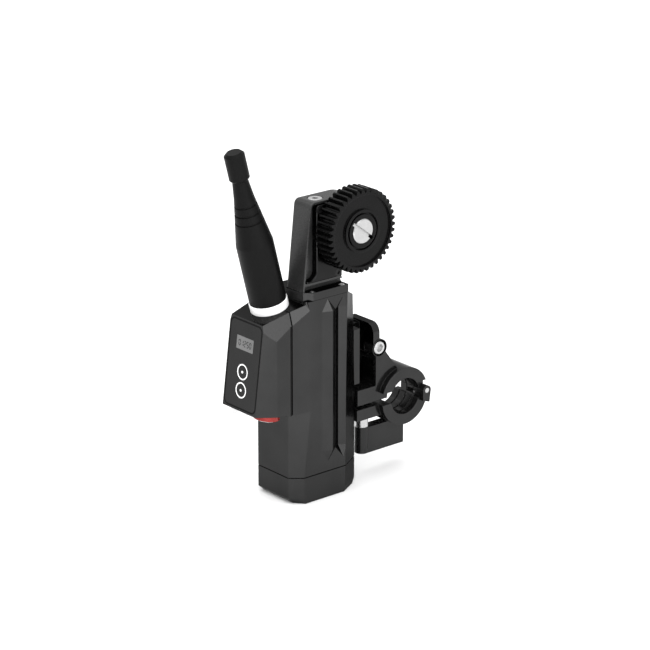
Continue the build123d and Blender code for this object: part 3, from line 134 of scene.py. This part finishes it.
def finish(name, dark, light, rough, grain_size, grain_height, patch_size=12 * MM, edge=0.2 * MM,
           metallic=0.0, specular=0.5, rim=1.0, stretch=EVEN):
    """A surface with fine grain, soft patches of wear in colour and gloss, and eased edges."""
    material, tree, shader = new_material(name)
    patches = object_noise(tree, patch_size)
    grain = object_noise(tree, grain_size, GRAIN_DETAIL, stretch)
    colour = mix_colour(tree, spread(tree, patches, 0, 1), dark, light)
    tree.links.new(colour, shader.inputs["Base Color"])
    wear = add_node(tree, "ShaderNodeMath", operation="ADD")
    tree.links.new(spread(tree, patches, rough[0], rough[1]), wear.inputs[0])
    tree.links.new(spread(tree, grain, -GRAIN_GLOSS, GRAIN_GLOSS), wear.inputs[1])
    tree.links.new(wear.outputs["Value"], shader.inputs["Roughness"])
    shader.inputs["Metallic"].default_value = metallic
    shader.inputs["Specular IOR Level"].default_value = specular
    shader.inputs["Specular Tint"].default_value = grey(rim)
    soft_edges(tree, shader, grain, grain_height, edge)
    return material


# Finishes
anodised = finish(
    "anodised_black", dark=grey(0.034), light=grey(0.038), rough=(0.17, 0.22),
    grain_size=0.25 * MM, grain_height=0.001 * MM, metallic=1.0, rim=0.45)
clamp_black = finish(
    "anodised_clamp", dark=grey(0.030), light=grey(0.034), rough=(0.17, 0.22),
    grain_size=0.25 * MM, grain_height=0.001 * MM, edge=0.3 * MM, metallic=0.85,
    specular=0.3, rim=0.55)
arm_black = finish(
    "anodised_arm", dark=grey(0.044), light=grey(0.050), rough=(0.24, 0.30),
    grain_size=0.2 * MM, grain_height=0.001 * MM, edge=0.7 * MM, metallic=0.55,
    specular=0.3, rim=0.55)
cover_black = finish(
    "anodised_cover", dark=grey(0.018), light=grey(0.022), rough=(0.20, 0.26),
    grain_size=0.2 * MM, grain_height=0.001 * MM, edge=0.3 * MM, metallic=1.0, rim=0.55)
gear_black = finish(
    "moulded_gear", dark=grey(0.002), light=grey(0.003), rough=(0.20, 0.27),
    grain_size=0.3 * MM, grain_height=0.002 * MM, edge=0.25 * MM, specular=0.11)
panel_black = finish(
    "panel_film", dark=grey(0.034), light=grey(0.038), rough=(0.26, 0.32),
    grain_size=0.15 * MM, grain_height=0.001 * MM, edge=0.1 * MM, metallic=1.0, rim=0.45)
button_black = finish(
    "button_cap", dark=grey(0.002), light=grey(0.003), rough=(0.35, 0.42),
    grain_size=0.15 * MM, grain_height=0.001 * MM, edge=0.15 * MM, specular=0.2)
display_grey = finish(
    "display_window", dark=grey(0.10), light=grey(0.12), rough=(0.25, 0.33),
    grain_size=0.1 * MM, grain_height=0.0005 * MM, edge=0.1 * MM)
white_print = finish(
    "white_print", dark=grey(0.92), light=grey(0.95), rough=(0.35, 0.45),
    grain_size=0.2 * MM, grain_height=0.002 * MM, edge=0.1 * MM)
white_ring = finish(
    "white_ring", dark=grey(0.93), light=grey(0.96), rough=(0.32, 0.42),
    grain_size=0.3 * MM, grain_height=0.003 * MM)
antenna_rubber = finish(
    "antenna_sleeve", dark=grey(0.002), light=grey(0.003), rough=(0.40, 0.50),
    grain_size=0.3 * MM, grain_height=0.003 * MM, specular=0.09)
# Black rubber for the cap seal and the display number, also used for the strips that paint the shade of gaps
seal_rubber = finish(
    "seal_rubber", dark=grey(0.001), light=grey(0.002), rough=(0.6, 0.7),
    grain_size=0.3 * MM, grain_height=0.004 * MM, specular=0.1)
red_ring = finish(
    "red_ring", dark=(0.20, 0.012, 0.010, 1), light=(0.26, 0.018, 0.015, 1),
    rough=(0.18, 0.26), grain_size=0.3 * MM, grain_height=0.002 * MM, metallic=0.5)
bright_steel = finish(
    "turned_steel", dark=grey(0.44), light=grey(0.50), rough=(0.25, 0.35),
    grain_size=0.15 * MM, grain_height=0.002 * MM, edge=0.1 * MM, metallic=1.0,
    stretch=TURNED)
dark_steel = finish(
    "blackened_steel", dark=grey(0.006), light=grey(0.010), rough=(0.25, 0.32),
    grain_size=0.15 * MM, grain_height=0.002 * MM, edge=0.1 * MM, specular=0.2)
alloy = finish(
    "turned_alloy", dark=grey(0.66), light=grey(0.74), rough=(0.28, 0.38),
    grain_size=0.2 * MM, grain_height=0.002 * MM, edge=0.1 * MM, metallic=1.0,
    stretch=TURNED)
brass = finish(
    "gilded_brass", dark=(0.80, 0.56, 0.22, 1), light=(0.86, 0.62, 0.28, 1),
    rough=(0.25, 0.35), grain_size=0.15 * MM, grain_height=0.002 * MM, edge=0.1 * MM,
    metallic=1.0)
board_green = finish(
    "solder_mask", dark=(0.010, 0.07, 0.03, 1), light=(0.014, 0.09, 0.04, 1),
    rough=(0.30, 0.40), grain_size=0.3 * MM, grain_height=0.002 * MM)

FINISH_OF = {
    anodised: ["motor_housing", "end_cap", "module_shell", "foot_plate", "console"],
    arm_black: ["gear_arm"],
    cover_black: ["arm_cover"],
    clamp_black: ["upper_jaw", "lower_jaw", "thumb_lever"],
    gear_black: ["drive_gear", "connector_inserts"],
    panel_black: ["front_panel"],
    button_black: ["button_1", "button_2"],
    display_grey: ["display"],
    white_print: ["button_rings", "button_dot_1", "button_dot_2"],
    white_ring: ["antenna_ring"],
    antenna_rubber: ["antenna", "antenna_cap"],
    seal_rubber: ["cap_seal"],
    red_ring: ["connector_ring"],
    bright_steel: ["motor_can", "motor_rotor", "idler_gear_1", "idler_gear_2", "idler_gear_3", "idler_axle_1",
                   "idler_axle_2", "idler_axle_3", "pinion", "output_wheel", "output_shaft", "front_bearing",
                   "rear_bearing", "gear_screw", "top_screw", "pivot_bolt", "hinge_pin", "clamp_screw",
                   "plate_screws"],
    dark_steel: ["cap_screws", "cover_screws", "console_screws"],
    alloy: ["planetary_gearbox", "angle_gearbox", "connector_shells"],
    brass: ["connector_pins", "antenna_socket"],
    board_green: ["encoder_board", "control_board", "panel_board"],
}
for material, names in FINISH_OF.items():
    for name in names:
        mesh = nodes[name].data
        mesh.materials.clear()
        mesh.materials.append(material)


# Shading of curved faces: smooth across shallow angles only
SMOOTH_BELOW = math.radians(25)
for piece in nodes.values():
    piece.data.shade_smooth()
    piece.data.set_sharp_from_angle(angle=SMOOTH_BELOW)


def add_piece(name, points, faces, material, body):
    """A closed mesh in the frame that rides on one CAD body."""
    mesh = bpy.data.meshes.new(name)
    mesh.from_pydata(points, [], faces)
    mesh.materials.append(material)
    mesh.validate()
    mesh.update()
    piece = bpy.data.objects.new(name, mesh)
    bpy.context.scene.collection.objects.link(piece)
    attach(piece, body)
    return piece


class Face:
    """A node's largest face away from the clamp: its middle, its axes to the right and up, its size."""

    def __init__(self, node, right):
        mesh = nodes[node].data
        front = max(mesh.polygons, key=lambda polygon: -polygon.normal.x * polygon.area)
        self.out, self.right = front.normal.copy(), Vector(right)
        self.up = self.out.cross(self.right)
        across = [vertex.co.dot(self.right) for vertex in mesh.vertices]
        along = [vertex.co.dot(self.up) for vertex in mesh.vertices]
        self.width, self.height = max(across) - min(across), max(along) - min(along)
        self.middle = ((max(across) + min(across)) / 2 * self.right + (max(along) + min(along)) / 2 * self.up
                       + front.center.dot(self.out) * self.out)

    def at(self, across, along, rise):
        """A point of the face, lifted off it by the rise."""
        return self.middle + across * self.right + along * self.up + rise * self.out


NEAR_SIDE = (0, -1, 0)
PRINT_RISE = 0.02 * MM


# Painted shade of the gap round the front panel: a thin dark ring on its edge
CORNER_STEPS = 6


def rounded_outline(width, height, radius):
    """Points round a rectangle with round corners, corner by corner."""
    points = []
    for corner, (side, end) in enumerate(((1, 1), (-1, 1), (-1, -1), (1, -1))):
        for step in range(CORNER_STEPS + 1):
            angle = (corner + step / CORNER_STEPS) * math.pi / 2
            points.append((side * (width / 2 - radius) + radius * math.cos(angle),
                           end * (height / 2 - radius) + radius * math.sin(angle)))
    return points


GAP_SHADE_IN, GAP_SHADE_OUT = 0.08 * MM, 0.6 * MM
PANEL_R = 2.0 * MM
panel = Face("front_panel", NEAR_SIDE)
gap_shade_points = []
for grow in (-GAP_SHADE_IN, GAP_SHADE_OUT):
    outline = rounded_outline(panel.width + 2 * grow, panel.height + 2 * grow, PANEL_R + grow)
    for rise in (-PRINT_RISE, PRINT_RISE):
        gap_shade_points += [panel.at(across, along, rise) for across, along in outline]
count = len(outline)
gap_shade_faces = []
for first, second in ((0, 1), (1, 3), (3, 2), (2, 0)):
    for spot in range(count):
        after = (spot + 1) % count
        gap_shade_faces.append((second * count + spot, second * count + after, first * count + after,
                           first * count + spot))
add_piece("panel_gap_shade", gap_shade_points, gap_shade_faces, seal_rubber, "motor")


# Painted shade of the gap between the module and the motor: a dark strip along both back edges
BOX_FACES = ((0, 2, 6, 4), (1, 5, 7, 3), (0, 4, 5, 1), (2, 3, 7, 6), (0, 1, 3, 2), (4, 6, 7, 5))
SHADE_STRIP_W, SHADE_STRIP_T = 0.7 * MM, 0.4 * MM
shell_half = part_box("module_shell")[1].y
side_points = [vertex.co for vertex in nodes["module_shell"].data.vertices
               if abs(vertex.co.y) > shell_half - PRINT_RISE]
shade_strip_x = max(point.x for point in side_points)
shade_strip_zs = [point.z for point in side_points if point.x > shade_strip_x - PRINT_RISE]
for name, side in (("module_gap_shade_near", -1), ("module_gap_shade_far", 1)):
    ys = sorted((side * (shell_half - SHADE_STRIP_T), side * (shell_half + PRINT_RISE)))
    shade_strip_points = [(x, y, z) for x in (shade_strip_x - SHADE_STRIP_W, shade_strip_x) for y in ys
                   for z in (min(shade_strip_zs), max(shade_strip_zs))]
    add_piece(name, shade_strip_points, BOX_FACES, seal_rubber, "motor")


# Number on the display: dark bars, placed by shares of half the digit's width and height
DISPLAY_NUMBER = "01250"
SEGMENTS = {"0": "abcdef", "1": "bc", "2": "abdeg", "5": "acdfg"}
DIGIT_W, DIGIT_H, DIGIT_PITCH, BAR_W, BAR_GAP = 1.0 * MM, 2.2 * MM, 1.6 * MM, 0.3 * MM, 0.02 * MM
BAR_EASE = BAR_W / 2 + BAR_GAP
BAR_SHARES = {"a": (0, 1, True), "b": (1, 0.5, False), "c": (1, -0.5, False), "d": (0, -1, True),
              "e": (-1, -0.5, False), "f": (-1, 0.5, False), "g": (0, 0, True)}
screen = Face("display", NEAR_SIDE)
bar_points, bar_faces = [], []
for place, digit in enumerate(DISPLAY_NUMBER):
    start = (place - (len(DISPLAY_NUMBER) - 1) / 2) * DIGIT_PITCH
    for segment in SEGMENTS[digit]:
        side, height, flat = BAR_SHARES[segment]
        half_w = DIGIT_W / 2 - BAR_EASE if flat else BAR_W / 2
        half_h = BAR_W / 2 if flat else DIGIT_H / 4 - BAR_EASE
        across, along = start + side * DIGIT_W / 2, height * DIGIT_H / 2
        first = len(bar_points)
        bar_points += [screen.at(across + left * half_w, along + low * half_h, rise * PRINT_RISE)
                       for left in (-1, 1) for low in (-1, 1) for rise in (-1, 1)]
        bar_faces += [tuple(first + corner for corner in face) for face in BOX_FACES]
add_piece("display_number", bar_points, bar_faces, seal_rubber, "motor")


# Parts of the clamp's ring: a far shoulder on the upper half, and a rest under the hinge's middle
rod_mount = next(mount for mount in frame["record"]["mounts"] if mount["name"] == "rod_clamp")
BORE_R = rod_mount["dims"]["r_mm"] * MM
BORE_FAR = rod_mount["dims"]["length_mm"] / 2 * MM
SECTOR_STEP = math.radians(2.5)
SHOULDER_R, SHOULDER_NEAR = 11.97 * MM, 5.0 * MM
SHOULDER_DEGREES = (38, 100)
REST_R, REST_YS = 11.5 * MM, (-7.3 * MM, -2.5 * MM)
REST_DEGREES = (-26, -10)


def ring_sector(name, outer_r, ys, degrees, body):
    """A slice of the clamp's ring between two depths and two angles."""
    start, end = (math.radians(angle) for angle in degrees)
    steps = math.ceil((end - start) / SECTOR_STEP)
    points, faces = [], []
    for step in range(steps + 1):
        angle = start + (end - start) * step / steps
        points += [(radius * math.cos(angle), y, radius * math.sin(angle))
                   for radius, y in ((BORE_R, ys[0]), (outer_r, ys[0]), (outer_r, ys[1]), (BORE_R, ys[1]))]
    for last in range(0, 4 * steps, 4):
        for side in range(4):
            after = (side + 1) % 4
            faces.append((last + side, last + after, last + after + 4, last + side + 4))
    faces += [(3, 2, 1, 0), tuple(4 * steps + side for side in range(4))]
    piece = add_piece(name, points, faces, clamp_black, body)
    piece.data.shade_smooth()
    piece.data.set_sharp_from_angle(angle=SMOOTH_BELOW)


ring_sector("ring_shoulder", SHOULDER_R, (SHOULDER_NEAR, BORE_FAR), SHOULDER_DEGREES, "clamp")
ring_sector("hinge_rest", REST_R, REST_YS, REST_DEGREES, "lower_jaw")


# Floor: one pale plane a little below the lowest piece
FLOOR_HALF = 4.0
FLOOR_DROP = 0.2 * MM
floor_z = bounds_at_load[0][2] - FLOOR_DROP
bpy.ops.mesh.primitive_plane_add(size=2 * FLOOR_HALF, location=(0, 0, floor_z))
floor = bpy.context.object
floor.name = "floor"
pale_floor = finish(
    "pale_floor", dark=grey(0.86), light=grey(0.88), rough=(0.75, 0.85),
    grain_size=6 * MM, grain_height=0.01 * MM, patch_size=500 * MM)
floor.data.materials.append(pale_floor)


# Light: an even white surround with softboxes, and a wide spot on the floor that slanted faces mirror
def place_lamp(name, lamp, place, aim):
    """Put a lamp at a place in metres and turn it to a point."""
    body = bpy.data.objects.new(name, lamp)
    body.location = place
    body.rotation_euler = (Vector(aim) - Vector(place)).to_track_quat("-Z", "Y").to_euler()
    bpy.context.scene.collection.objects.link(body)


def softbox(name, place, aim, size, power):
    """A square lamp, its side in metres and its power in watts."""
    lamp = bpy.data.lights.new(name, "AREA")
    lamp.shape = "SQUARE"
    lamp.size = size
    lamp.energy = power
    place_lamp(name, lamp, place, aim)


def floor_spot(name, place, aim, spread_degrees, power):
    """A soft round lamp that points at a place on the floor."""
    lamp = bpy.data.lights.new(name, "SPOT")
    lamp.energy = power
    lamp.spot_size = math.radians(spread_degrees)
    lamp.spot_blend = 1.0
    lamp.shadow_soft_size = SPOT_SOFT
    place_lamp(name, lamp, place, (*aim, floor_z))


AIM = (-0.04, 0, 0.04)
SPOT_SOFT = 0.1
softbox("front", place=(-0.15, -1.3, 0.5), aim=AIM, size=1.1, power=11)
softbox("overhead", place=(-0.2, 0.1, 1.3), aim=AIM, size=1.6, power=18)
floor_spot("floor_wash", place=(-0.55, -0.5, 0.35), aim=(-0.32, -0.27), spread_degrees=50, power=22)

SURROUND = 1.0
world = bpy.data.worlds.new("studio")
bpy.context.scene.world = world
world.use_nodes = True
background = world.node_tree.nodes["Background"]
background.inputs["Color"].default_value = grey(1.0)
background.inputs["Strength"].default_value = SURROUND


# Camera
CAMERA_PLACE = Vector((-709.1, -805.1, 405.2)) * MM
CAMERA_LOOK = Vector((0.60629, 0.72255, -0.33216))
LENS = 157.3
camera_data = bpy.data.cameras.new("camera")
camera_data.lens = LENS
camera = bpy.data.objects.new("camera", camera_data)
camera.location = CAMERA_PLACE
camera.rotation_euler = CAMERA_LOOK.to_track_quat("-Z", "Y").to_euler()
bpy.context.scene.collection.objects.link(camera)
bpy.context.scene.camera = camera
bpy.context.scene.view_settings.view_transform = "Standard"
